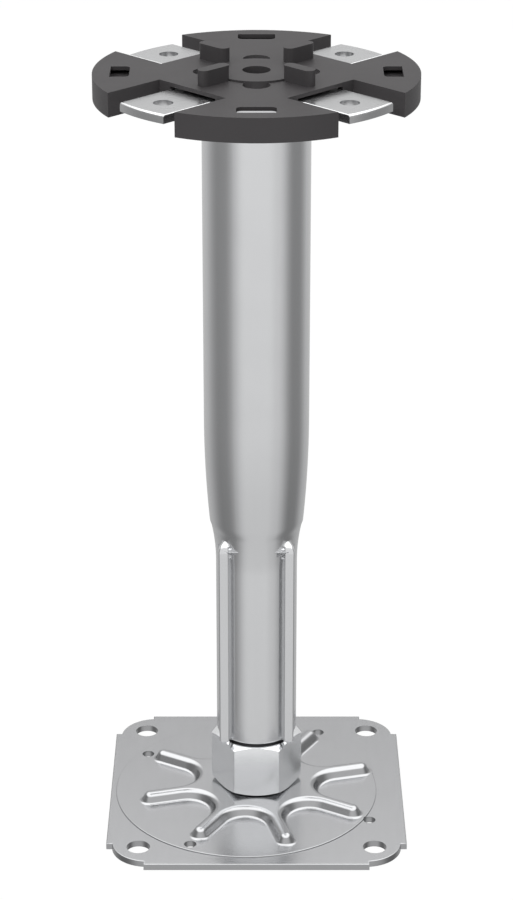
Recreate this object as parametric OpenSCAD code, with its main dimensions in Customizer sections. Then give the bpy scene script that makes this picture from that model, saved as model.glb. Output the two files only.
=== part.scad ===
// Raised floor pedestal: a pressed base plate with a riveted stud, a levelling nut that
// climbs the stud, and a column that stands on the nut and carries a steel head plate
// with a moulded gasket. Millimetres, +Z up, origin at the bottom centre of the base plate.
// The column is drawn at its lowest setting.

/* [Overall] */
// Height of the bearing face of the gasket above the floor, at the lowest setting
pedestal_h = 230; // [170:1:400]

/* [Base plate] */
// Width over the straight lands of the sides
base_w = 90; // [86:0.5:130]
// Thickness of the pressed steel sheet
sheet_t = 2; // [1.5:0.1:2.6]
// Distance from a side to the end of the next side's straight land
land_in = 11.6; // [11:0.1:18]
// How far a land stands out beyond the rounded corners
land_step = 1.7; // [0.5:0.1:3]
// Radius of the rounded corners
corner_r = 11; // [7:0.5:16]
// Distance of the fixing holes' centres from the sides
fix_in = 9.7; // [9:0.1:11]
// Diameter of the fixing holes
fix_d = 7; // [4:0.1:9]
// Pitch circle of the small holes beyond four of the star's arms
pin_pcd = 79.2; // [78:0.1:81]
// Diameter of the small holes
pin_d = 3.7; // [2:0.1:4.2]
// Diameter of the coined step round the star
coin_d = 80.6; // [79:0.1:82]
// Height of the coined step
coin_rise = 0.35; // [0.2:0.05:0.6]
// Offset of the coined step from the centre, sideways
coin_x = -3.15; // [-4:0.05:2]
// Offset of the coined step from the centre, front to back
coin_y = -1; // [-3:0.05:3]

/* [Star] */
// Arms of the pressed star
star_arms = 8; // [5:1:9]
// Turn of the first arm from +X
star_turn = 15; // [0:0.5:44]
// Height of the star above the sheet
star_h = 3.3; // [2:0.1:4.5]
// Radius to the tips of the arms
star_reach = 36.6; // [32:0.1:37]
// Width of an arm at the sheet
arm_w = 5.8; // [5:0.1:7]
// Steepness of the drawn walls
star_draft = 60; // [55:1:75]
// Radius of the round valleys between the arms, at the sheet
valley_r = 7.2; // [5:0.1:8]
// Thickness of the drawn walls, thinner than the flat sheet
star_wall = 1.5; // [1.2:0.05:1.8]

/* [Stud and nut] */
// Outside diameter of the stud's thread
stud_d = 16; // [12:1:17]
// Length of the stud above the star
stud_len = 88; // [70:1:100]
// Diameter of the riveted neck in the star
rivet_neck_d = 13; // [9:0.5:14]
// Diameter of the riveted head under the star
rivet_head_d = 20; // [16:0.5:24]
// Thickness of the riveted head
rivet_head_t = 2.4; // [1.5:0.1:2.8]
// Gap between the star and the nut at the lowest setting
nut_gap = 0.3; // [0.1:0.05:1.5]
// Width of the nut across its flats
nut_af = 24; // [22:0.5:27]
// Height of the hexagon
nut_h = 16.9; // [10:0.1:25]
// Diameter of the flat face inside the nut's chamfers
nut_face_d = 23.2; // [20:0.1:23.6]
// Slope of the chamfers on the hexagon
nut_chamfer = 30; // [20:1:40]
// Diameter of the turned collar that the column stands on
collar_d = 22; // [21.8:0.1:23]
// Height of the collar
collar_h = 1.05; // [0.5:0.05:2]
// Height of the spigot that centres the column
spigot_h = 4; // [2:0.5:8]
// Running clearance between the stud and the nut, on the radius
thread_play = 0.05; // [0.02:0.01:0.08]
// Clearance between the spigot and the column, on the radius
spigot_play = 0.25; // [0.1:0.05:0.5]

/* [Column tube] */
// Outside diameter of the tube
tube_d = 30.8; // [28:0.1:34]
// Wall thickness
tube_wall = 1.5; // [1.2:0.1:2]
// Outside diameter of the neck, where the four sides are pressed in
neck_d = 24.2; // [22.5:0.1:26]
// Length of the neck below the taper
neck_len = 56.8; // [40:0.1:70]
// Length of the bulged taper between neck and tube
taper_len = 46.2; // [30:0.1:60]
// Width over the flat faces of the corner ears
ear_span = 22.4; // [21:0.1:24]
// Width of an ear
ear_w = 3; // [2.4:0.1:3.6]
// Rounding of an ear's outer edge
ear_round = 1; // [0.5:0.1:1.1]
// Length of the ears
ear_len = 67.6; // [50:0.1:72]
// Radius of the arched top of an ear
ear_arch = 4; // [2:0.5:6]
// Rounding of the tube's lower edge
lip_r = 0.8; // [0.3:0.1:1]

/* [Head plate] */
// Thickness of the head plate
head_t = 2.5; // [2:0.1:4]
// Radius to the outer ends of the arms
head_reach = 44.3; // [40:0.1:45]
// Width of an arm
head_arm_w = 17.1; // [12:0.1:20]
// Diameter of the round middle that is welded to the tube
head_hub_d = 38; // [36:0.5:44]
// Rounding of the upper edge at the arm ends
head_edge_r = 0.9; // [0.4:0.1:1.4]
// Spacing of the stringer holes in the arms
stringer_pitch = 50.2; // [44:0.1:54]
// Diameter of the stringer holes
stringer_d = 5.5; // [4:0.1:6.5]
// Leg of the fillet weld between tube and head plate
weld_leg = 2; // [1:0.1:2.4]

/* [Gasket] */
// Outside diameter of the gasket
gasket_d = 91.2; // [90:0.1:100]
// Height of the rim wall
rim_h = 6.9; // [5.5:0.1:9]
// Thickness of the rim and of the walls beside the notches
rim_t = 2; // [1.2:0.1:3]
// Clearance between the walls and the arms of the head plate
arm_play = 0.3; // [0.1:0.05:0.6]
// Thickness of the top sheet
top_t = 1.1; // [0.8:0.1:1.6]
// Height of the seat that holds the sheet clear of the steel
seat_h = 0.65; // [0.3:0.05:1.2]
// Width of the notches over the arms
notch_w = 26.1; // [22:0.1:30]
// Distance of a notch's inner edge from the centre
notch_in = 24.6; // [22:0.1:27]
// Radial width of the slot in each pad
slot_w = 5.4; // [4:0.1:6]
// Length of the slot in each pad
slot_len = 10.8; // [8:0.1:14]
// Depth of the floor under the slots, below the bearing face
slot_depth = 2.3; // [1.8:0.1:3.5]
// Thickness of that floor
floor_t = 1.2; // [0.8:0.1:1.5]
// Rounding of the slot's inner corners
slot_r = 1.5; // [0.5:0.1:2]
// Distance of the slots from the centre
slot_at = 37.9; // [36:0.1:39]
// Diameter of the raised disc in the middle
disc_d = 24; // [18:0.1:25]
// Height of the raised disc
disc_h = 0.5; // [0.3:0.1:1]
// Diameter of the centre hole
centre_d = 7.9; // [5:0.1:10]
// Diameter of the four holes beside the disc
side_d = 7.7; // [5:0.1:8.4]
// Distance of those holes from the centre
side_at = 13.8; // [13:0.1:15]
// Width of the upright fins
fin_w = 3.6; // [2:0.1:4.5]
// Height of the fins above the bearing face
fin_h = 4.5; // [2:0.1:8]
// Distance of a fin's inner round from the centre
fin_in = 13.2; // [12:0.1:15]
// Distance of a fin's outer round from the centre
fin_out = 20.1; // [18:0.1:22]

/* [Hidden] */
$fn = 96;
eps = 0.05;

// heights of the seats, from the floor up
star_z = sheet_t + star_h;
nut_z = star_z + nut_gap;
nut_top = nut_z + nut_h;
tube_z = nut_top + collar_h;
head_top = pedestal_h - top_t - seat_h;
head_z = head_top - head_t;
gasket_z = pedestal_h - rim_h;

// the sheet
land_len = base_w - 2 * land_in;
fix_at = base_w / 2 - fix_in;

// the tube
tube_r = tube_d / 2;
neck_r = neck_d / 2;
neck_top = tube_z + neck_len;
taper_steps = 20;
lip_steps = 4;

// the gap between the arms of the star
step = 360 / star_arms;
valley_off = arm_w / 2 + valley_r;
valley_at = valley_off / sin(step / 2);
tip_at = star_reach - arm_w / 2;

function run(z) = z / tan(star_draft);

// ---- base plate ----

// Outline: rounded corners with a straight land standing out on each side
module base_outline() {
    body_w = base_w - 2 * land_step;
    core_w = body_w - 2 * corner_r;
    square([core_w, body_w], center = true);
    square([body_w, core_w], center = true);
    for (sx = [-1, 1], sy = [-1, 1])
        translate([sx, sy] * core_w / 2) circle(corner_r);
    square([land_len, base_w], center = true);
    square([base_w, land_len], center = true);
}

// Star with drafted walls: half_w is the half width of an arm at the bottom, h its height.
// The hub's corners lie inside the arms, and the valleys bite a hair into the arms, so that
// no two surfaces only touch.
module star(half_w, h) {
    bite = 0.04;
    top_w = half_w - run(h);
    arm_from = valley_at / 2;
    hub_r = valley_at * cos(step / 2) + half_w * tan(step / 2) + 4 * eps;
    difference() {
        union() {
            rotate(star_turn) cylinder(h = h, r = hub_r, $fn = star_arms);
            for (i = [0 : star_arms - 1]) rotate(star_turn + i * step) {
                translate([arm_from, 0, 0]) rotate([90, 0, 90]) linear_extrude(tip_at - arm_from)
                    polygon([[-half_w, 0], [half_w, 0], [top_w, h], [-top_w, h]]);
                translate([tip_at, 0, 0]) cylinder(h = h, r1 = half_w, r2 = top_w);
            }
        }
        for (i = [0 : star_arms - 1]) rotate(star_turn + (i + 0.5) * step)
            translate([valley_at, 0, -1]) {
                low_r = valley_off - half_w - run(1) + bite;
                cylinder(h = h + 2, r1 = low_r, r2 = low_r + run(h + 2));
            }
    }
}

// The flat sheet, the part inside the coined step lifted by its height, and the star
// pressed up out of that part, hollow from below
module base_plate() color("#a2a3a5") {
    root = sheet_t / 2;
    hollow_w = arm_w / 2 + run(sheet_t) - star_wall / sin(star_draft);
    difference() {
        union() {
            difference() {
                linear_extrude(sheet_t) base_outline();
                translate([coin_x, coin_y, -1])
                    cylinder(h = sheet_t + 2, d = coin_d - 2 * coin_rise);
            }
            difference() {
                union() {
                    translate([coin_x, coin_y, coin_rise]) cylinder(h = sheet_t, d = coin_d);
                    translate([0, 0, root]) star(arm_w / 2 + run(sheet_t - root), star_z - root);
                }
                translate([0, 0, -1]) star(hollow_w + run(1), star_h + 1);
            }
        }
        translate([0, 0, -1]) cylinder(h = star_z + 2, d = rivet_neck_d);
        for (sx = [-1, 1], sy = [-1, 1])
            translate([sx * fix_at, sy * fix_at, -1]) cylinder(h = sheet_t + 2, d = fix_d);
        for (i = [0 : 3]) rotate(60 + i * 90)
            translate([pin_pcd / 2, 0, -1]) cylinder(h = sheet_t + coin_rise + 2, d = pin_d);
    }
}

// ---- stud, riveted through the star from below ----

module stud() color("#b9bcbd") {
    rivet_z = star_h - rivet_head_t;
    neck_r = rivet_neck_d / 2 - 0.02;
    end_c = 1.2;
    r = stud_d / 2;
    top = star_z + stud_len;
    rotate_extrude() polygon([
        [0, rivet_z], [rivet_head_d / 2 - 0.6, rivet_z], [rivet_head_d / 2, rivet_z + 0.6],
        [rivet_head_d / 2, star_h], [neck_r, star_h], [neck_r, star_z], [r, star_z],
        [r, top - end_c], [r - end_c, top], [0, top]
    ]);
}

// ---- levelling nut ----

module levelling_nut() color("#c4c7c8") {
    corner = nut_af / 2 / cos(30);
    face = nut_face_d / 2;
    rise = (corner + 1 - face) * tan(nut_chamfer);
    spigot_r = neck_r - tube_wall - spigot_play;
    difference() {
        union() {
            intersection() {
                translate([0, 0, nut_z]) cylinder(h = nut_h, r = corner, $fn = 6);
                translate([0, 0, nut_z]) rotate_extrude() polygon([
                    [0, 0], [face, 0], [corner + 1, rise],
                    [corner + 1, nut_h - rise], [face, nut_h], [0, nut_h]
                ]);
            }
            translate([0, 0, nut_top - eps]) cylinder(h = collar_h + eps, d = collar_d);
            translate([0, 0, tube_z - eps]) cylinder(h = spigot_h + eps, r = spigot_r);
        }
        translate([0, 0, nut_z - 1])
            cylinder(h = nut_h + collar_h + spigot_h + 2, d = stud_d + 2 * thread_play);
    }
}

// ---- column tube ----

// Share of the reduction reached at u, from 0 at the top of the taper to 1 at the neck:
// a long flat bulge, a shoulder that steepens, and a hollow that runs out into the neck
bulge_u = 0.69;
shoulder_u = 0.73;
slope_share = 0.42;
shoulder_slope = 2 / (slope_share * shoulder_u + (shoulder_u - bulge_u) + (1 - bulge_u));
bulge_slope = slope_share * shoulder_slope;
function reduction(u) =
    u < bulge_u ? bulge_slope * u * u / (2 * bulge_u)
    : u < shoulder_u ? bulge_slope * bulge_u / 2 + bulge_slope * (u - bulge_u)
        + (shoulder_slope - bulge_slope) * pow(u - bulge_u, 2) / (2 * (shoulder_u - bulge_u))
    : 1 - shoulder_slope * pow(1 - u, 2) / (2 * (1 - shoulder_u));

function taper_points(inset) = [
    for (i = [0 : taper_steps])
        let (u = 1 - i / taper_steps)
        [tube_r - inset - (tube_r - neck_r) * reduction(u), neck_top + taper_len * (1 - u)]
];

// Outline of the tube turned about its axis, out to a surface that lies inset below it
module tube_turned(inset, low, high) {
    rotate_extrude() polygon(concat(
        [[0, low], [neck_r - inset - (inset == 0 ? lip_r : 0), low]],
        inset == 0
            ? [for (i = [1 : lip_steps]) let (a = 90 * i / lip_steps)
                [neck_r - lip_r + lip_r * sin(a), low + lip_r - lip_r * cos(a)]]
            : [],
        taper_points(inset),
        [[tube_r - inset, high], [0, high]]
    ));
}

// One corner ear: a square rib with a rounded edge, arched over at the top on both faces
module ear() {
    out = ear_span / 2;
    side = ear_w - ear_round;
    module face(top) {
        square([out - ear_arch, top]);
        square([out, top - ear_arch]);
        translate([out - ear_arch, top - ear_arch]) circle(ear_arch);
    }
    intersection() {
        translate([0, 0, tube_z]) linear_extrude(ear_len) translate([out - ear_w, out - ear_w]) {
            square([ear_w, side]);
            square([side, ear_w]);
            translate([side, side]) circle(ear_round);
        }
        translate([0, out + 1, tube_z]) rotate([90, 0, 0]) linear_extrude(out + 1) face(ear_len);
        translate([0, 0, tube_z]) rotate([90, 0, 90]) linear_extrude(out + 1) face(ear_len);
    }
}

module column_tube() color("#bcbfbe") {
    difference() {
        union() {
            tube_turned(0, tube_z, head_z);
            for (a = [0 : 90 : 270]) rotate(a) ear();
        }
        tube_turned(tube_wall, tube_z - 1, head_z + 1);
    }
}

// ---- head ----

// Fillet weld all round the tube, under the head plate
module head_weld() color("#9fa1a2")
    rotate_extrude() polygon([
        [tube_r, head_z], [tube_r + weld_leg, head_z],
        [tube_r + 0.4 * weld_leg, head_z - 0.4 * weld_leg], [tube_r, head_z - weld_leg]
    ]);

// Cross of four arms on the diagonals, its ends turned to one circle with a rounded edge
module head_plate() color("#b8bbbc") {
    edge_steps = 5;
    flat_r = head_reach - head_edge_r;
    difference() {
        intersection() {
            translate([0, 0, head_z]) linear_extrude(head_t) {
                for (a = [45, 135]) rotate(a) square([2 * head_reach + 2, head_arm_w], center = true);
                circle(d = head_hub_d);
            }
            rotate_extrude() polygon(concat(
                [[0, head_z - 1], [head_reach, head_z - 1]],
                [for (i = [0 : edge_steps]) let (a = 90 * i / edge_steps)
                    [flat_r + head_edge_r * cos(a), head_top - head_edge_r + head_edge_r * sin(a)]],
                [[0, head_top]]
            ));
        }
        translate([0, 0, head_z - 1]) cylinder(h = head_t + 2, d = centre_d);
        for (sx = [-1, 1], sy = [-1, 1])
            translate([sx * stringer_pitch / 2, sy * stringer_pitch / 2, head_z - 1])
                cylinder(h = head_t + 2, d = stringer_d);
    }
}

// One notch over an arm of the head plate, widened by grow inwards and on both sides
module notch(grow)
    rotate(45) translate([notch_in - grow, -notch_w / 2 - grow])
        square([gasket_d / 2, notch_w + 2 * grow]);

// Walls round a notch, open where the arm runs in under the sheet
module notch_walls()
    difference() {
        notch(rim_t);
        rotate(45) translate([0, -head_arm_w / 2 - arm_play])
            square([notch_in + 1, head_arm_w + 2 * arm_play]);
    }

// Slot of a pad: square corners outside, rounded corners towards the centre
module pad_slot()
    translate([slot_at - slot_w / 2, -slot_len / 2]) {
        translate([slot_r, 0]) square([slot_w - slot_r, slot_len]);
        translate([0, slot_r]) square([slot_w, slot_len - 2 * slot_r]);
        for (y = [slot_r, slot_len - slot_r]) translate([slot_r, y]) circle(slot_r);
    }

// Moulded in one piece: four hollow pads between the notches, joined by a thin sheet that
// sits on the head plate, with a raised disc and four fins to place the panels
module head_gasket() color("#5d5b5c") {
    sheet_z = pedestal_h - top_t;
    seat_z = sheet_z - seat_h;
    floor_z = pedestal_h - slot_depth - floor_t;
    floor_in = slot_at - slot_w / 2 - rim_t;
    difference() {
        translate([0, 0, gasket_z]) cylinder(h = rim_h, d = gasket_d);
        for (a = [0 : 90 : 270]) rotate(a) {
            translate([0, 0, gasket_z - 1]) linear_extrude(rim_h + 2) notch(0);
            translate([0, 0, floor_z + floor_t]) linear_extrude(rim_h) pad_slot();
            translate([side_at, 0, gasket_z - 1]) cylinder(h = rim_h + 2, d = side_d);
        }
        difference() {
            translate([0, 0, gasket_z - 1])
                cylinder(h = 1 + rim_h - top_t, d = gasket_d - 2 * rim_t);
            for (a = [0 : 90 : 270]) rotate(a) {
                translate([0, 0, gasket_z - 1]) linear_extrude(rim_h + 2) notch_walls();
                translate([floor_in, -notch_w, floor_z]) cube([gasket_d / 2, 2 * notch_w, floor_t]);
            }
            translate([0, 0, seat_z]) cylinder(h = seat_h + 1, d = head_hub_d - 1);
        }
        translate([0, 0, seat_z - 1]) cylinder(h = rim_h, d = centre_d);
    }
    difference() {
        translate([0, 0, seat_z]) cylinder(h = seat_h + top_t + disc_h, d = disc_d);
        translate([0, 0, seat_z - 1]) cylinder(h = rim_h, d = centre_d);
    }
    for (a = [45 : 90 : 315]) rotate(a)
        translate([0, 0, pedestal_h - top_t / 2]) linear_extrude(fin_h + top_t / 2) {
            translate([fin_in, -fin_w / 2]) square([fin_out - fin_in, fin_w]);
            for (x = [fin_in, fin_out]) translate([x, 0]) circle(d = fin_w);
        }
}

base_plate();
stud();
levelling_nut();
column_tube();
head_weld();
head_plate();
head_gasket();
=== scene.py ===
import math

import bmesh
import bpy
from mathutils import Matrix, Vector


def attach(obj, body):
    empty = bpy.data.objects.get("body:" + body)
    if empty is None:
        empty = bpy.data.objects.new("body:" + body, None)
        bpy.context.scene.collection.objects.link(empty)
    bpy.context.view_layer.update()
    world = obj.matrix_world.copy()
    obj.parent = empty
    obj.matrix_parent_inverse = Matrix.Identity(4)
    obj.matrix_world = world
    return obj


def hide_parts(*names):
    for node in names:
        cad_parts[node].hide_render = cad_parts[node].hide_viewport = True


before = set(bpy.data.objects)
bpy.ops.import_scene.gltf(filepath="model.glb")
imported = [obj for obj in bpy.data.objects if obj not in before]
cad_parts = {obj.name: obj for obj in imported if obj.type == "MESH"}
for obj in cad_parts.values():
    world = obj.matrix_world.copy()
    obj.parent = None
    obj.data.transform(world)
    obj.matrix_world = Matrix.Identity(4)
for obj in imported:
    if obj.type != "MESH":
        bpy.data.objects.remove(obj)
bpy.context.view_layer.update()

# ---- Studio ----
# The pedestal stands on plain white paper in a light room. Metal shows the room: white in
# front and overhead, greyer at both sides and behind.
camera_data = bpy.data.cameras.new("camera")
camera_data.sensor_width = 36
camera_data.lens = 108.1
camera_data.shift_y = 0.0053
camera = bpy.data.objects.new("camera", camera_data)
camera.location = (0, -0.7294, 0.4299)
camera.rotation_euler = (math.radians(66.602), 0, 0)
bpy.context.collection.objects.link(camera)
scene = bpy.context.scene
scene.camera = camera
scene.view_settings.view_transform = "Standard"

world = bpy.data.worlds.new("studio")
scene.world = world
world.use_nodes = True
sky = world.node_tree
sky.nodes.clear()


def sky_node(kind, **settings):
    node = sky.nodes.new("ShaderNode" + kind)
    for name, value in settings.items():
        setattr(node, name, value)
    return node


def sky_light(colour, strength):
    node = sky_node("Background")
    node.inputs["Color"].default_value = (*colour, 1)
    node.inputs["Strength"].default_value = strength
    return node


def sky_mix(share, first, second):
    node = sky_node("MixShader")
    for socket, source in zip(node.inputs, (share, first, second)):
        sky.links.new(source, socket)
    return node.outputs[0]


# the walls of the room by direction: front at 0.5, right at 0.75, left at 0.25
aim = sky_node("SeparateXYZ")
sky.links.new(sky_node("TexCoord").outputs["Generated"], aim.inputs[0])
forward = sky_node("Math", operation="MULTIPLY")
forward.inputs[1].default_value = -1
sky.links.new(aim.outputs["Y"], forward.inputs[0])
turn = sky_node("Math", operation="ARCTAN2")
sky.links.new(aim.outputs["X"], turn.inputs[0])
sky.links.new(forward.outputs[0], turn.inputs[1])
around = sky_node("MapRange")
around.inputs["From Min"].default_value = -math.pi
around.inputs["From Max"].default_value = math.pi
sky.links.new(turn.outputs[0], around.inputs["Value"])
walls = sky_node("ValToRGB")
walls.color_ramp.interpolation = "EASE"
for place, grey in ((0.12, 0.66), (0.25, 0.34), (0.30, 0.36), (0.43, 1.0), (0.57, 1.0), (0.63, 0.88),
                    (0.735, 0.33), (0.785, 0.33), (0.88, 0.66)):
    stop = walls.color_ramp.elements.new(place)
    stop.color = (grey, grey, grey, 1)
walls.color_ramp.elements[0].color = (0.71, 0.71, 0.71, 1)
walls.color_ramp.elements[-1].color = (0.71, 0.71, 0.71, 1)
sky.links.new(around.outputs[0], walls.inputs[0])
low = sky_node("MapRange")
for label, value in (("From Min", -0.52), ("From Max", -0.28), ("To Min", 0.78), ("To Max", 1.0)):
    low.inputs[label].default_value = value
sky.links.new(aim.outputs["Z"], low.inputs["Value"])
room = sky_light((1, 1, 1), 1.0)
sky.links.new(walls.outputs[0], room.inputs["Color"])
sky.links.new(low.outputs[0], room.inputs["Strength"])
height = sky_node("MapRange", interpolation_type="SMOOTHSTEP")
height.inputs["From Min"].default_value = 0.46
height.inputs["From Max"].default_value = 0.72
sky.links.new(aim.outputs["Z"], height.inputs["Value"])
in_metal = sky_mix(height.outputs[0], room.outputs[0], sky_light((1, 1, 1), 2.6).outputs[0])
ray = sky_node("LightPath")
lit = sky_mix(ray.outputs["Is Glossy Ray"], sky_light((0.97, 0.985, 1), 0.75).outputs[0], in_metal)
shown = sky_mix(ray.outputs["Is Camera Ray"], lit, sky_light((1, 1, 1), 1.0).outputs[0])
sky.links.new(shown, sky_node("OutputWorld").inputs["Surface"])

key_data = bpy.data.lights.new("key_lamp", "AREA")
key_data.size = 0.5
key_data.energy = 4
key_lamp = bpy.data.objects.new("key_lamp", key_data)
key_lamp.location = (-0.45, -0.8, 0.9)
key_lamp.rotation_euler = (Vector((0, 0, 0.1)) - key_lamp.location).to_track_quat("-Z", "Y").to_euler()
key_lamp.visible_glossy = False
bpy.context.collection.objects.link(key_lamp)

bpy.ops.object.select_all(action="DESELECT")
bpy.ops.mesh.primitive_grid_add(x_subdivisions=4, y_subdivisions=4, size=6, location=(0, 0, -0.0002))
floor = bpy.context.active_object
floor.name = "floor"
bpy.ops.object.transform_apply(location=True, rotation=True, scale=True)
floor.visible_glossy = False
paper = bpy.data.materials.new("floor_paper")
paper.use_nodes = True
tree = paper.node_tree
tree.nodes.clear()
paper_white = tree.nodes.new("ShaderNodeBsdfDiffuse")
paper_white.inputs["Color"].default_value = (0.85, 0.85, 0.85, 1)
paper_seen = tree.nodes.new("ShaderNodeEmission")
paper_seen.inputs["Strength"].default_value = 1.03
ray = tree.nodes.new("ShaderNodeLightPath")
share = tree.nodes.new("ShaderNodeMath")
share.operation = "MULTIPLY"
share.inputs[1].default_value = 0.94
mix = tree.nodes.new("ShaderNodeMixShader")
out = tree.nodes.new("ShaderNodeOutputMaterial")
tree.links.new(ray.outputs["Is Camera Ray"], share.inputs[0])
tree.links.new(share.outputs[0], mix.inputs[0])
tree.links.new(paper_white.outputs[0], mix.inputs[1])
tree.links.new(paper_seen.outputs[0], mix.inputs[2])
tree.links.new(mix.outputs[0], out.inputs["Surface"])
floor.data.materials.append(paper)

# ---- Base plate ----
# Square of 2 mm galvanised sheet with rounded corners, blanked and drawn in one press. The
# eight-armed star stiffens it, and the disc round the star is coined up a little. Screws
# go through the corners and pins through the small holes beyond four of the arms.
MM = 0.001
BASE_W = 90
SHEET_T = 2
LAND_IN = 11.6
LAND_STEP = 1.7
CORNER_R = 11
RIM_ROUND = 0.25
FIX_AT = 35.3
FIX_D = 7
PIN_AT = 39.6
PIN_D = 3.7
PIN_FIRST = 60
COIN_D = 80.6
COIN_RISE = 0.35
COIN_ROUND = 0.2
COIN_X = -3.15
COIN_Y = -1
STAR_ARMS = 8
STAR_TURN = 15
STAR_Z = 5.3
STAR_REACH = 36.6
ARM_W = 5.8
VALLEY_R = 7.2
DRAFT = 66
CREST_R = 1.8
CREST_STEPS = 10
ROOT_R = 1.0
ROOT_STEPS = 7
SKIRT = 0.5
STAR_WALL = 1.5
ARC_STEPS = 12
RIVET_D = 13
# cutting tools start below the plate and end above the flat sheet
CUT_LOW = -1
CUT_HIGH = 4


def alone(piece):
    """Makes a piece the only selected and the active one."""
    bpy.ops.object.select_all(action="DESELECT")
    piece.select_set(True)
    bpy.context.view_layer.objects.active = piece


def block(name, size, place, turned=0.0):
    """A square block: its size and its middle in millimetres, turned about +Z afterwards."""
    bpy.ops.object.select_all(action="DESELECT")
    bpy.ops.mesh.primitive_cube_add(size=MM, location=[c * MM for c in place])
    piece = bpy.context.active_object
    piece.name = name
    piece.scale = size
    bpy.ops.object.transform_apply(location=True, rotation=True, scale=True)
    piece.rotation_euler.z = math.radians(turned)
    bpy.ops.object.transform_apply(location=True, rotation=True, scale=True)
    return piece


def rod(name, d, low, high, place=(0, 0), sides=64, turned=0.0):
    """An upright rod between two heights."""
    bpy.ops.object.select_all(action="DESELECT")
    bpy.ops.mesh.primitive_cylinder_add(
        vertices=sides, radius=d / 2 * MM, depth=(high - low) * MM,
        location=(place[0] * MM, place[1] * MM, (low + high) / 2 * MM),
        rotation=(0, 0, math.radians(turned)))
    piece = bpy.context.active_object
    piece.name = name
    bpy.ops.object.transform_apply(location=True, rotation=True, scale=True)
    return piece


def shape_with(piece, tool, how):
    """Joins, cuts or trims a piece with a tool, and takes the tool away."""
    alone(piece)
    mod = piece.modifiers.new("shape", "BOOLEAN")
    mod.operation = how
    mod.object = tool
    mod.solver = "EXACT"
    bpy.ops.object.modifier_apply(modifier=mod.name)
    bpy.data.objects.remove(tool)


def round_edges(piece, chosen, width, segments=3):
    """Rounds the sharp edges for which chosen(a, b) is true, a and b their ends in mm."""
    alone(piece)
    bpy.ops.object.mode_set(mode="EDIT")
    bpy.ops.mesh.select_mode(type="EDGE")
    bpy.ops.mesh.select_all(action="SELECT")
    bpy.ops.mesh.remove_doubles(threshold=0.002 * MM)
    bpy.ops.mesh.dissolve_limited(angle_limit=math.radians(0.5))
    bpy.ops.mesh.select_all(action="DESELECT")
    edit = bmesh.from_edit_mesh(piece.data)
    for edge in edit.edges:
        if edge.calc_face_angle(0) > 0.4 and chosen(*(v.co / MM for v in edge.verts)):
            edge.select_set(True)
    bmesh.update_edit_mesh(piece.data)
    bpy.ops.mesh.bevel(offset=width * MM, segments=segments, affect="EDGES")
    bpy.ops.object.mode_set(mode="OBJECT")


def smooth(piece, angle=40):
    """Smooth shading up to an angle, led by the large flat faces, all facing outwards."""
    alone(piece)
    bpy.ops.object.mode_set(mode="EDIT")
    bpy.ops.mesh.select_all(action="SELECT")
    bpy.ops.mesh.remove_doubles(threshold=0.001 * MM)
    bpy.ops.mesh.normals_make_consistent(inside=False)
    bpy.ops.object.mode_set(mode="OBJECT")
    bpy.ops.object.shade_smooth_by_angle(angle=math.radians(angle))
    mod = piece.modifiers.new("normals", "WEIGHTED_NORMAL")
    mod.keep_sharp = True
    bpy.ops.object.modifier_apply(modifier=mod.name)


def skin(name, rings, ends=True):
    """A closed solid through rings of points in mm: capped, or the last joined to the first."""
    count, last = len(rings[0]), len(rings) - 1
    faces = [tuple(reversed(range(count))), tuple(last * count + i for i in range(count))] if ends else []
    for r in range(last + (not ends)):
        low, high = r * count, (r + 1) % len(rings) * count
        for i in range(count):
            j = (i + 1) % count
            faces.append((low + i, low + j, high + j, high + i))
    mesh = bpy.data.meshes.new(name)
    mesh.from_pydata([tuple(c * MM for c in p) for ring in rings for p in ring], [], faces)
    piece = bpy.data.objects.new(name, mesh)
    bpy.context.collection.objects.link(piece)
    return piece


def star_ring(grow, height):
    """Outline of the star, grown outwards, at a height."""
    step = 360 / STAR_ARMS
    half = ARM_W / 2 + grow
    valley_at = (ARM_W / 2 + VALLEY_R) / math.sin(math.radians(step / 2))
    tip_at = STAR_REACH - ARM_W / 2
    points = []
    for arm in range(STAR_ARMS):
        for centre, reach, first, sweep, at in (
                (STAR_TURN + arm * step, half, -90, 180, tip_at),
                (STAR_TURN + (arm + 0.5) * step, VALLEY_R - grow,
                 270 - step / 2, step - 180, valley_at)):
            c = math.radians(centre)
            for i in range(ARC_STEPS + 1):
                a = c + math.radians(first + sweep * i / ARC_STEPS)
                points.append((at * math.cos(c) + reach * math.cos(a),
                               at * math.sin(c) + reach * math.sin(a), height))
    return points


def run(rise):
    """How far the drafted wall of the star leans in over a rise."""
    return rise / math.tan(math.radians(DRAFT))


def drawn_star(name):
    """Upper skin of the star: a round root on the coined disc, a steep wall, a round crest."""
    disc_z = SHEET_T + COIN_RISE
    bend = math.tan(math.radians(DRAFT / 2))
    root_at = -run(COIN_RISE) + ROOT_R * bend
    crest_at = -run(STAR_Z - SHEET_T) - CREST_R * bend
    rings = [star_ring(root_at + SKIRT, SHEET_T / 2), star_ring(root_at + SKIRT, disc_z - 0.03)]
    for i in range(1, ROOT_STEPS + 1):
        a = math.radians(DRAFT * i / ROOT_STEPS)
        rings.append(star_ring(root_at - ROOT_R * math.sin(a), disc_z + ROOT_R * (1 - math.cos(a))))
    for i in range(CREST_STEPS, -1, -1):
        a = math.radians(DRAFT * i / CREST_STEPS)
        rings.append(star_ring(crest_at + CREST_R * math.sin(a), STAR_Z - CREST_R * (1 - math.cos(a))))
    return skin(name, rings)


def star_hollow(name):
    """The star's hollow, seen from below, its top edge eased in two steps."""
    wall = STAR_WALL / math.sin(math.radians(DRAFT))
    top = STAR_Z - SHEET_T
    eased = ((CUT_LOW, 0), (0, 0), (top - 0.8, 0), (top - 0.2, 0.15), (top, 0.5))
    return skin(name, [star_ring(-run(z - SHEET_T) - wall - pinch, z) for z, pinch in eased])


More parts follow.
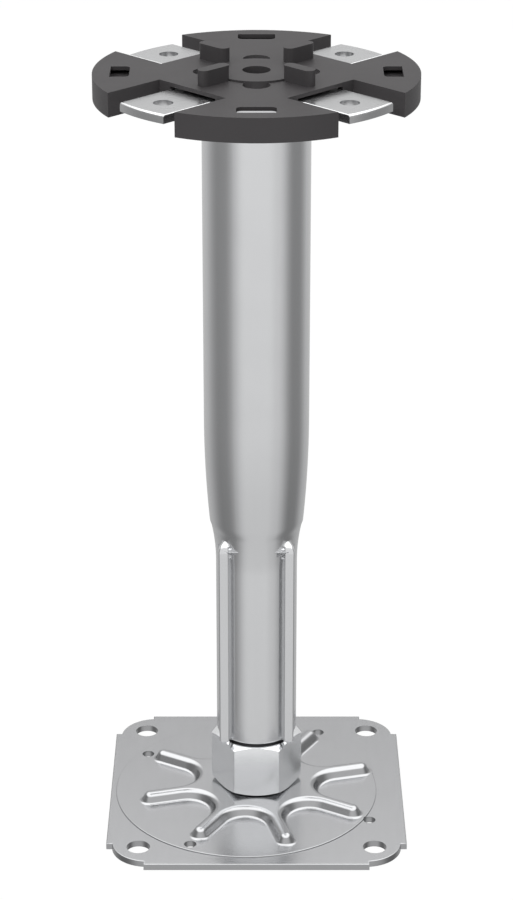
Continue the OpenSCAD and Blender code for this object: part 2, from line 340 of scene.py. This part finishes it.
plate = block("base_plate_pressed", [BASE_W - 2 * LAND_STEP] * 2 + [SHEET_T], (0, 0, SHEET_T / 2))
round_edges(plate, lambda a, b: abs(a.z - b.z) > 1, CORNER_R, 14)
land_len = BASE_W - 2 * LAND_IN
shape_with(plate, block("land", (land_len, BASE_W, SHEET_T), (0, 0, SHEET_T / 2)), "UNION")
shape_with(plate, block("land", (BASE_W, land_len, SHEET_T), (0, 0, SHEET_T / 2)), "UNION")
round_edges(plate, lambda a, b: min(a.z, b.z) > 0.95 * SHEET_T, RIM_ROUND)
recess = rod("recess", COIN_D - 2 * COIN_RISE, CUT_LOW, COIN_RISE, (COIN_X, COIN_Y), 128)
shape_with(plate, recess, "DIFFERENCE")
disc = rod("disc", COIN_D, SHEET_T / 2, SHEET_T + COIN_RISE, (COIN_X, COIN_Y), 160)
round_edges(disc, lambda a, b: min(a.z, b.z) > 0.75 * SHEET_T, COIN_ROUND)
shape_with(disc, drawn_star("star"), "UNION")
shape_with(plate, disc, "UNION")
shape_with(plate, star_hollow("hollow"), "DIFFERENCE")
shape_with(plate, rod("rivet_hole", RIVET_D, CUT_LOW, STAR_Z + 1), "DIFFERENCE")
for sx in (-1, 1):
    for sy in (-1, 1):
        place = (sx * FIX_AT, sy * FIX_AT)
        shape_with(plate, rod("hole", FIX_D, CUT_LOW, CUT_HIGH, place, 48), "DIFFERENCE")
for i in range(4):
    a = math.radians(PIN_FIRST + 90 * i)
    place = (PIN_AT * math.cos(a), PIN_AT * math.sin(a))
    shape_with(plate, rod("hole", PIN_D, CUT_LOW, CUT_HIGH, place, 32), "DIFFERENCE")
smooth(plate)
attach(plate, "base")
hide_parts("base_plate")


def effect(name, inputs, outputs):
    """A node group with named inputs (kind, value) and outputs (kind)."""
    group = bpy.data.node_groups.new(name, "ShaderNodeTree")
    for label, (kind, value) in inputs.items():
        socket = group.interface.new_socket(label, in_out="INPUT", socket_type="NodeSocket" + kind)
        if value is not None:
            socket.default_value = value
    for label, kind in outputs.items():
        group.interface.new_socket(label, in_out="OUTPUT", socket_type="NodeSocket" + kind)
    return group, group.nodes.new("NodeGroupInput"), group.nodes.new("NodeGroupOutput")


def noise(group, coordinates, scale, detail):
    """A noise of that many spots per metre, from 0 to 1."""
    node = group.nodes.new("ShaderNodeTexNoise")
    node.inputs["Scale"].default_value = scale
    node.inputs["Detail"].default_value = detail
    group.links.new(coordinates, node.inputs["Vector"])
    return node.outputs["Fac"]


def maths(group, how, *values):
    """One step of arithmetic on numbers and sockets."""
    node = group.nodes.new("ShaderNodeMath")
    node.operation = how
    for socket, value in zip(node.inputs, values):
        if isinstance(value, (int, float)):
            socket.default_value = value
        else:
            group.links.new(value, socket)
    return node.outputs[0]


# Worked metal: long grain along the way it was rolled, drawn or turned, with clouds of
# slightly different shine. Grain is the number of lines per metre each way.
worked, worked_in, worked_out = effect("worked_metal", {
    "Vector": ("Vector", None), "Colour": ("Color", (0.8, 0.8, 0.8, 1)),
    "Grain": ("Vector", (1, 1, 1)), "Roughness": ("Float", 0.3), "Clouds": ("Float", 0.1),
}, {"Colour": "Color", "Roughness": "Float", "Height": "Float"})
stretch = worked.nodes.new("ShaderNodeVectorMath")
stretch.operation = "MULTIPLY"
worked.links.new(worked_in.outputs["Vector"], stretch.inputs[0])
worked.links.new(worked_in.outputs["Grain"], stretch.inputs[1])
lines = maths(worked, "SUBTRACT", noise(worked, stretch.outputs[0], 1, 3), 0.5)
cloud = maths(worked, "SUBTRACT", noise(worked, worked_in.outputs["Vector"], 90, 4), 0.5)
spots = maths(worked, "SUBTRACT", noise(worked, worked_in.outputs["Vector"], 900, 2), 0.5)
tone = maths(worked, "ADD", maths(worked, "MULTIPLY", cloud, worked_in.outputs["Clouds"]),
             maths(worked, "MULTIPLY", maths(worked, "ADD", lines, spots), 0.02))
bright = worked.nodes.new("ShaderNodeVectorMath")
bright.operation = "SCALE"
worked.links.new(worked_in.outputs["Colour"], bright.inputs[0])
worked.links.new(maths(worked, "ADD", tone, 1), bright.inputs["Scale"])
worked.links.new(bright.outputs[0], worked_out.inputs["Colour"])
worked.links.new(maths(worked, "ADD", worked_in.outputs["Roughness"],
                       maths(worked, "MULTIPLY", maths(worked, "SUBTRACT", lines, cloud), 0.05)),
                 worked_out.inputs["Roughness"])
worked.links.new(maths(worked, "ADD", lines, maths(worked, "MULTIPLY", spots, 0.5)),
                 worked_out.inputs["Height"])


def metal(name, colour, roughness, grain, clouds, relief=0.002):
    """A metal finish with the worked surface and its relief in millimetres."""
    finish = bpy.data.materials.new(name)
    finish.use_nodes = True
    tree = finish.node_tree
    surface = tree.nodes["Principled BSDF"]
    surface.inputs["Metallic"].default_value = 1
    made = tree.nodes.new("ShaderNodeGroup")
    made.node_tree = worked
    made.inputs["Colour"].default_value = (*colour, 1)
    made.inputs["Grain"].default_value = grain
    made.inputs["Roughness"].default_value = roughness
    made.inputs["Clouds"].default_value = clouds
    tree.links.new(tree.nodes.new("ShaderNodeTexCoord").outputs["Object"], made.inputs["Vector"])
    tree.links.new(made.outputs["Colour"], surface.inputs["Base Color"])
    tree.links.new(made.outputs["Roughness"], surface.inputs["Roughness"])
    bump = tree.nodes.new("ShaderNodeBump")
    bump.inputs["Distance"].default_value = relief * MM
    bump.inputs["Strength"].default_value = 1
    tree.links.new(made.outputs["Height"], bump.inputs["Height"])
    tree.links.new(bump.outputs[0], surface.inputs["Normal"])
    return finish


plate.data.materials.append(metal("galvanised_sheet", (0.385, 0.388, 0.395), 0.24, (900, 90, 900), 0.05))

# ---- Stud ----
# Threaded steel rod M16 x 2, zinc plated. Its lower end is turned to a neck, put through
# the star from above and riveted over below.
STUD_R = 8
STUD_TOP = 93.3
END_CHAMFER = 1.2
PITCH = 2
THREAD_H = 1.2
THREAD_SIDES = 40
THREAD_RINGS = 440
NECK_PLAY = 0.04
RIVET_HEAD_D = 20
RIVET_HEAD_LOW = 0.9
RIVET_HEAD_TOP = 3.3
RIVET_HEAD_ROUND = 0.6


def thread_ring(z):
    """One ring of the thread's surface, its crest climbing by the pitch in a turn."""
    end = min(1.0, max(0.0, (STUD_TOP - z) / END_CHAMFER), max(0.0, (z - STAR_Z) / 0.4 + 0.2))
    ring = []
    for i in range(THREAD_SIDES):
        phase = (z / PITCH - i / THREAD_SIDES) % 1
        wave = min(1.0, max(0.0, abs(2 * phase - 1) * 1.35 - 0.17))
        r = STUD_R - max(THREAD_H * (1 - wave), THREAD_H * (1 - end))
        a = 2 * math.pi * i / THREAD_SIDES
        ring.append((r * math.cos(a), r * math.sin(a), z))
    return ring


heights = [STAR_Z + (STUD_TOP - STAR_Z) * i / THREAD_RINGS for i in range(THREAD_RINGS + 1)]
stud = skin("stud_threaded", [thread_ring(z) for z in heights])
shape_with(stud, rod("neck", RIVET_D - NECK_PLAY, 3, 7), "UNION")
rivet = rod("rivet", RIVET_HEAD_D, RIVET_HEAD_LOW, RIVET_HEAD_TOP)
round_edges(rivet, lambda a, b: max(a.z, b.z) < 1, RIVET_HEAD_ROUND)
shape_with(stud, rivet, "UNION")
smooth(stud, 50)
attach(stud, "base")
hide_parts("stud")
stud.data.materials.append(metal("plated_thread", (0.5, 0.51, 0.53), 0.28, (300, 300, 4000), 0.1))

# ---- Levelling nut ----
# Long hexagon nut turned from bar and zinc plated, with a spigot that centres the column.
# The column stands on the collar under the spigot. Collar and spigot are painted near-black as painted
# shade for the gap under the tube.
NUT_Z = 5.6
NUT_H = 16.9
NUT_AF = 24
NUT_FACE = 23.2
NUT_EDGE = 0.35
NUT_BORE_R = 8.05
COLLAR_D = 22
COLLAR_H = 1.05
SPIGOT_D = 20.7
SPIGOT_H = 4
SPIGOT_CHAMFER = 0.5
corner = NUT_AF / 2 / math.cos(math.radians(30))
rise = (corner + 1 - NUT_FACE / 2) * math.tan(math.radians(30))
nut_top = NUT_Z + NUT_H


def turned(name, profile, sides=96):
    """A solid turned from a closed profile of (radius, height) points that has a bore."""
    mesh = bpy.data.meshes.new(name)
    mesh.from_pydata([(r * MM, 0, z * MM) for r, z in profile],
                     [(i, (i + 1) % len(profile)) for i in range(len(profile))], [])
    piece = bpy.data.objects.new(name, mesh)
    bpy.context.collection.objects.link(piece)
    alone(piece)
    mod = piece.modifiers.new("turn", "SCREW")
    mod.steps = sides
    mod.render_steps = sides
    mod.use_merge_vertices = True
    mod.merge_threshold = 0.001 * MM
    bpy.ops.object.modifier_apply(modifier=mod.name)
    bpy.ops.object.mode_set(mode="EDIT")
    bpy.ops.mesh.select_all(action="SELECT")
    bpy.ops.mesh.normals_make_consistent(inside=False)
    bpy.ops.object.mode_set(mode="OBJECT")
    return piece


nut = rod("levelling_nut_hexagon", 2 * corner, NUT_Z, nut_top, sides=6, turned=30)
round_edges(nut, lambda a, b: abs(a.z - b.z) > 1, NUT_EDGE, 4)
spigot_top = nut_top + COLLAR_H + SPIGOT_H
shape_with(nut, turned("chamfers", [
    (NUT_BORE_R, NUT_Z), (NUT_FACE / 2, NUT_Z), (corner + 1, NUT_Z + rise), (corner + 1, nut_top - rise),
    (NUT_FACE / 2, nut_top), (NUT_BORE_R, nut_top)]), "INTERSECT")
shape_with(nut, turned("collar", [
    (NUT_BORE_R, nut_top - 1), (COLLAR_D / 2, nut_top - 1), (COLLAR_D / 2, nut_top + COLLAR_H),
    (SPIGOT_D / 2, nut_top + COLLAR_H), (SPIGOT_D / 2, spigot_top - SPIGOT_CHAMFER),
    (SPIGOT_D / 2 - SPIGOT_CHAMFER, spigot_top), (NUT_BORE_R, spigot_top)]), "UNION")
smooth(nut, 20)
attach(nut, "nut")
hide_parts("levelling_nut")
nut.data.materials.append(metal("plated_bar", (0.94, 0.95, 0.96), 0.22, (500, 500, 120), 0.03))
# second finish: near-black painted shade on the collar and spigot faces above the hexagon, standing for
# the shaded gap under the column
nut.data.materials.append(metal("collar_painted_shade", (0.03, 0.03, 0.032), 0.45, (500, 500, 900), 0.3))
for face in nut.data.polygons:
    if face.center.z / MM > nut_top + 0.02:
        face.material_index = 1

# ---- Column tube ----
# Steel tube, 30.8 mm outside, galvanised. Its lower end is swaged down in four jaws: a
# taper with a long bulge, then a round neck, and between the jaws four square ears stay.
TUBE_R = 15.4
TUBE_WALL = 1.5
NECK_R = 12.1
TUBE_Z = 23.55
HEAD_Z = 225.75
NECK_LEN = 56.8
TAPER_LEN = 46.2
EAR_OUT = 11.2
EAR_W = 3
EAR_LEN = 67.6
EAR_ARCH = 4
EAR_ROUND = 0.5
EAR_BLEND = 0.55
LIP_R = 0.8
BULGE_U = 0.69
SHOULDER_U = 0.73
SLOPE_SHARE = 0.42
RAY_STEP = 0.4
NECK_TOP = TUBE_Z + NECK_LEN


def swaged(z):
    """Outside radius of the round part at a height."""
    steep = 2 / (SLOPE_SHARE * SHOULDER_U + (SHOULDER_U - BULGE_U) + (1 - BULGE_U))
    flat = SLOPE_SHARE * steep
    u = min(1.0, max(0.0, 1 - (z - NECK_TOP) / TAPER_LEN))
    if u < BULGE_U:
        share = flat * u * u / (2 * BULGE_U)
    elif u < SHOULDER_U:
        share = (flat * BULGE_U / 2 + flat * (u - BULGE_U)
                 + (steep - flat) * (u - BULGE_U) ** 2 / (2 * (SHOULDER_U - BULGE_U)))
    else:
        share = 1 - steep * (1 - u) ** 2 / (2 * (1 - SHOULDER_U))
    return TUBE_R - (TUBE_R - NECK_R) * share


def ear_reach(z):
    """How far the ears' faces stand from the middle planes: they arch over at the top."""
    over = z - (TUBE_Z + EAR_LEN - EAR_ARCH)
    if over <= 0:
        return EAR_OUT
    if over >= EAR_ARCH:
        return EAR_OUT - EAR_ARCH - (over - EAR_ARCH)
    return EAR_OUT - EAR_ARCH + math.sqrt(EAR_ARCH ** 2 - over ** 2)


def outside(x, y, z, inset):
    """How far a point lies outside the tube's outer skin, ears blended into the round."""
    reach = ear_reach(z)
    low = EAR_OUT - EAR_W
    half, middle = (reach - low) / 2, (reach + low) / 2
    round_part = math.hypot(x, y) - swaged(z)
    if half < 0.1:
        return round_part + inset
    edge = min(EAR_ROUND, half * 0.9)
    qx, qy = abs(abs(x) - middle) - half + edge, abs(abs(y) - middle) - half + edge
    ear_part = math.hypot(max(qx, 0), max(qy, 0)) + min(max(qx, qy), 0) - edge
    near = max(EAR_BLEND - abs(round_part - ear_part), 0) / EAR_BLEND
    return min(round_part, ear_part) - near * near * EAR_BLEND / 4 + inset


def leaves(z, inset, origin, angle, start):
    """Where a ray from a point on the diagonal, in the plane at z, leaves the outer skin."""
    dx, dy = math.cos(angle), math.sin(angle)
    near, far = start, start + RAY_STEP
    while outside(origin + far * dx, origin + far * dy, z, inset) < 0:
        near, far = far, far + RAY_STEP
    for _ in range(12):
        mid = (near + far) / 2
        if outside(origin + mid * dx, origin + mid * dy, z, inset) < 0:
            near = mid
        else:
            far = mid
    return origin + near * dx, origin + near * dy


def tube_outline(z, inset=0.0):
    """The outer skin at a height: rays fan out of the middle, and out of the ear where it stands."""
    stands = (math.sqrt(2) * ear_reach(z) - 0.4 - swaged(z)) / 3
    share = min(1.0, max(0.0, stands))
    share = share * share * (3 - 2 * share)
    plain, fanned = 10, 18
    base = math.radians(20 - 15.5 * share)
    radius = swaged(z) - inset
    origin = (EAR_OUT - EAR_W / 2) * share
    foot_x = radius * math.cos(math.pi / 4 + base) - origin
    foot_y = radius * math.sin(math.pi / 4 + base) - origin
    fan = math.atan2(foot_y, foot_x) % (2 * math.pi) - math.pi / 4
    half = [leaves(z, inset, origin, math.pi / 4 + fan * i / fanned, 0.0) for i in range(fanned)]
    for i in range(plain):
        angle = math.pi / 4 + base + (math.pi / 4 - base) * i / plain
        half.append(leaves(z, inset, 0.0, angle, radius - 1))
    quarter = [(y, x) for x, y in reversed(half[1:])] + half
    quarter.append(leaves(z, inset, 0.0, math.pi / 2, radius - 1))
    ring = []
    for _ in range(4):
        ring += [(x, y, z) for x, y in quarter]
        quarter = [(-y, x) for x, y in quarter]
    return ring


def bored(ring):
    """The tube's inner skin beside a ring of the outer one."""
    r = swaged(ring[0][2]) - TUBE_WALL
    return [(r * x / math.hypot(x, y), r * y / math.hypot(x, y), z) for x, y, z in ring]


arch_z = TUBE_Z + EAR_LEN - EAR_ARCH
# each level is a height and how far the lip draws the skin in there
levels = [(TUBE_Z + LIP_R * (1 - math.cos(math.radians(15 * i))),
           LIP_R * (1 - math.sin(math.radians(15 * i)))) for i in range(7)]
levels += [(z, 0) for z in (TUBE_Z + 8, TUBE_Z + 24, TUBE_Z + 40, NECK_TOP - 4)]
levels += [(NECK_TOP + (arch_z - NECK_TOP) * i / 6, 0) for i in range(6)]
levels += [(arch_z + (EAR_ARCH + 0.4) * i / 20, 0) for i in range(20)]
levels += [(arch_z + 4.4 + (NECK_TOP + TAPER_LEN - arch_z - 4.4) * i / 30, 0) for i in range(31)]
levels += [(HEAD_Z - 60, 0), (HEAD_Z, 0)]
skin_rings = [tube_outline(z, inset) for z, inset in levels]
bore_rings = [bored(ring) for ring in reversed(skin_rings)]
tube = skin("column_tube_swaged", skin_rings + bore_rings, ends=False)
smooth(tube, 50)
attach(tube, "column")
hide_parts("column_tube")
tube.data.materials.append(metal("galvanised_tube", (0.655, 0.66, 0.67), 0.20, (700, 700, 30), 0.04))

# ---- Weld ----
# Fillet weld all round between the tube and the head plate, left as welded: dull, with
# the ripples of the torch.
BEAD_LEG = 1.95
BEAD_BULGE = 0.35
BEAD_SINK = 0.3


def bead_point(degrees):
    """A point of the bead's face, from the tube at 0 degrees to the head plate at 90."""
    a = math.radians(degrees)
    out = TUBE_R + BEAD_LEG - BEAD_LEG * math.cos(a) * 0.98 + BEAD_BULGE * math.sin(2 * a) - 0.35
    return out, HEAD_Z - BEAD_LEG + 1.93 * math.sin(a)


bead = turned("head_weld_bead", [(TUBE_R - BEAD_SINK, HEAD_Z), (TUBE_R - BEAD_SINK, HEAD_Z - BEAD_LEG)]
              + [bead_point(degrees) for degrees in range(10, 91, 10)])
smooth(bead, 60)
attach(bead, "column")
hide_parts("head_weld")
bead.data.materials.append(metal("weld_metal", (0.50, 0.50, 0.52), 0.42, (500, 500, 1400), 0.35, 0.25))

# ---- Head plate ----
# Cross of four arms punched from 2.5 mm steel, its ends on one circle with a rolled edge.
# It is welded on the tube. Stringers are screwed to the hole in each arm.
HEAD_T = 2.5
HEAD_REACH = 44.3
HEAD_ARM_W = 17.1
HUB_D = 38
EDGE_R = 0.9
ARM_ROUND = 0.3
STRINGER_AT = 25.1
STRINGER_D = 5.5
CENTRE_D = 7.9
head_top = HEAD_Z + HEAD_T
arm_size = (2 * HEAD_REACH + 2, HEAD_ARM_W, HEAD_T)
arm_place = (0, 0, HEAD_Z + HEAD_T / 2)
cross = block("head_plate_cross", arm_size, arm_place, 45)
shape_with(cross, block("arm", arm_size, arm_place, 135), "UNION")
shape_with(cross, rod("hub", HUB_D, HEAD_Z, head_top, sides=96), "UNION")
round_edges(cross, lambda a, b: min(a.z, b.z) > head_top - 0.05, ARM_ROUND)
shape_with(cross, turned("trim", [(CENTRE_D / 2, HEAD_Z - 1), (HEAD_REACH, HEAD_Z - 1)] + [
    (HEAD_REACH - EDGE_R + EDGE_R * math.cos(math.radians(a)),
     head_top - EDGE_R + EDGE_R * math.sin(math.radians(a))) for a in range(0, 91, 15)] + [
    (CENTRE_D / 2, head_top)], 192), "INTERSECT")
for sx in (-1, 1):
    for sy in (-1, 1):
        place = (sx * STRINGER_AT, sy * STRINGER_AT)
        shape_with(cross, rod("hole", STRINGER_D, HEAD_Z - 1, head_top + 1, place, 40), "DIFFERENCE")
smooth(cross)
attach(cross, "column")
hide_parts("head_plate")
cross.data.materials.append(metal("galvanised_plate", (0.63, 0.633, 0.64), 0.26, (120, 900, 900), 0.04))

# ---- Gasket ----
# Moulded in one piece from dark grey plastic: four hollow pads over the head plate, joined
# by a thin sheet, with a raised disc and four fins that place the floor panels.
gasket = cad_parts["head_gasket"]

# Moulded plastic: a finely sparked mould surface and a slightly uneven sheen.
moulded, moulded_in, moulded_out = effect("moulded_plastic", {
    "Vector": ("Vector", None), "Colour": ("Color", (0.1, 0.1, 0.1, 1)), "Roughness": ("Float", 0.5),
}, {"Colour": "Color", "Roughness": "Float", "Height": "Float"})
flow = maths(moulded, "SUBTRACT", noise(moulded, moulded_in.outputs["Vector"], 60, 3), 0.5)
spark = maths(moulded, "SUBTRACT", noise(moulded, moulded_in.outputs["Vector"], 2500, 2), 0.5)
shade = moulded.nodes.new("ShaderNodeVectorMath")
shade.operation = "SCALE"
moulded.links.new(moulded_in.outputs["Colour"], shade.inputs[0])
moulded.links.new(maths(moulded, "ADD", maths(moulded, "MULTIPLY", flow, 0.16), 1),
                  shade.inputs["Scale"])
moulded.links.new(shade.outputs[0], moulded_out.inputs["Colour"])
uneven = maths(moulded, "MULTIPLY", flow, 0.2)
moulded.links.new(maths(moulded, "ADD", uneven, moulded_in.outputs["Roughness"]),
                  moulded_out.inputs["Roughness"])
moulded.links.new(spark, moulded_out.inputs["Height"])
plastic = bpy.data.materials.new("grey_plastic")
plastic.use_nodes = True
tree = plastic.node_tree
finish = tree.nodes["Principled BSDF"]
finish.inputs["Specular IOR Level"].default_value = 0.2
made = tree.nodes.new("ShaderNodeGroup")
made.node_tree = moulded
made.inputs["Colour"].default_value = (0.052, 0.0485, 0.0498, 1)
made.inputs["Roughness"].default_value = 0.5
tree.links.new(tree.nodes.new("ShaderNodeTexCoord").outputs["Object"], made.inputs["Vector"])
tree.links.new(made.outputs["Colour"], finish.inputs["Base Color"])
tree.links.new(made.outputs["Roughness"], finish.inputs["Roughness"])
bump = tree.nodes.new("ShaderNodeBump")
bump.inputs["Distance"].default_value = 0.02 * MM
tree.links.new(made.outputs["Height"], bump.inputs["Height"])
tree.links.new(bump.outputs[0], finish.inputs["Normal"])
gasket.data.materials.clear()
gasket.data.materials.append(plastic)
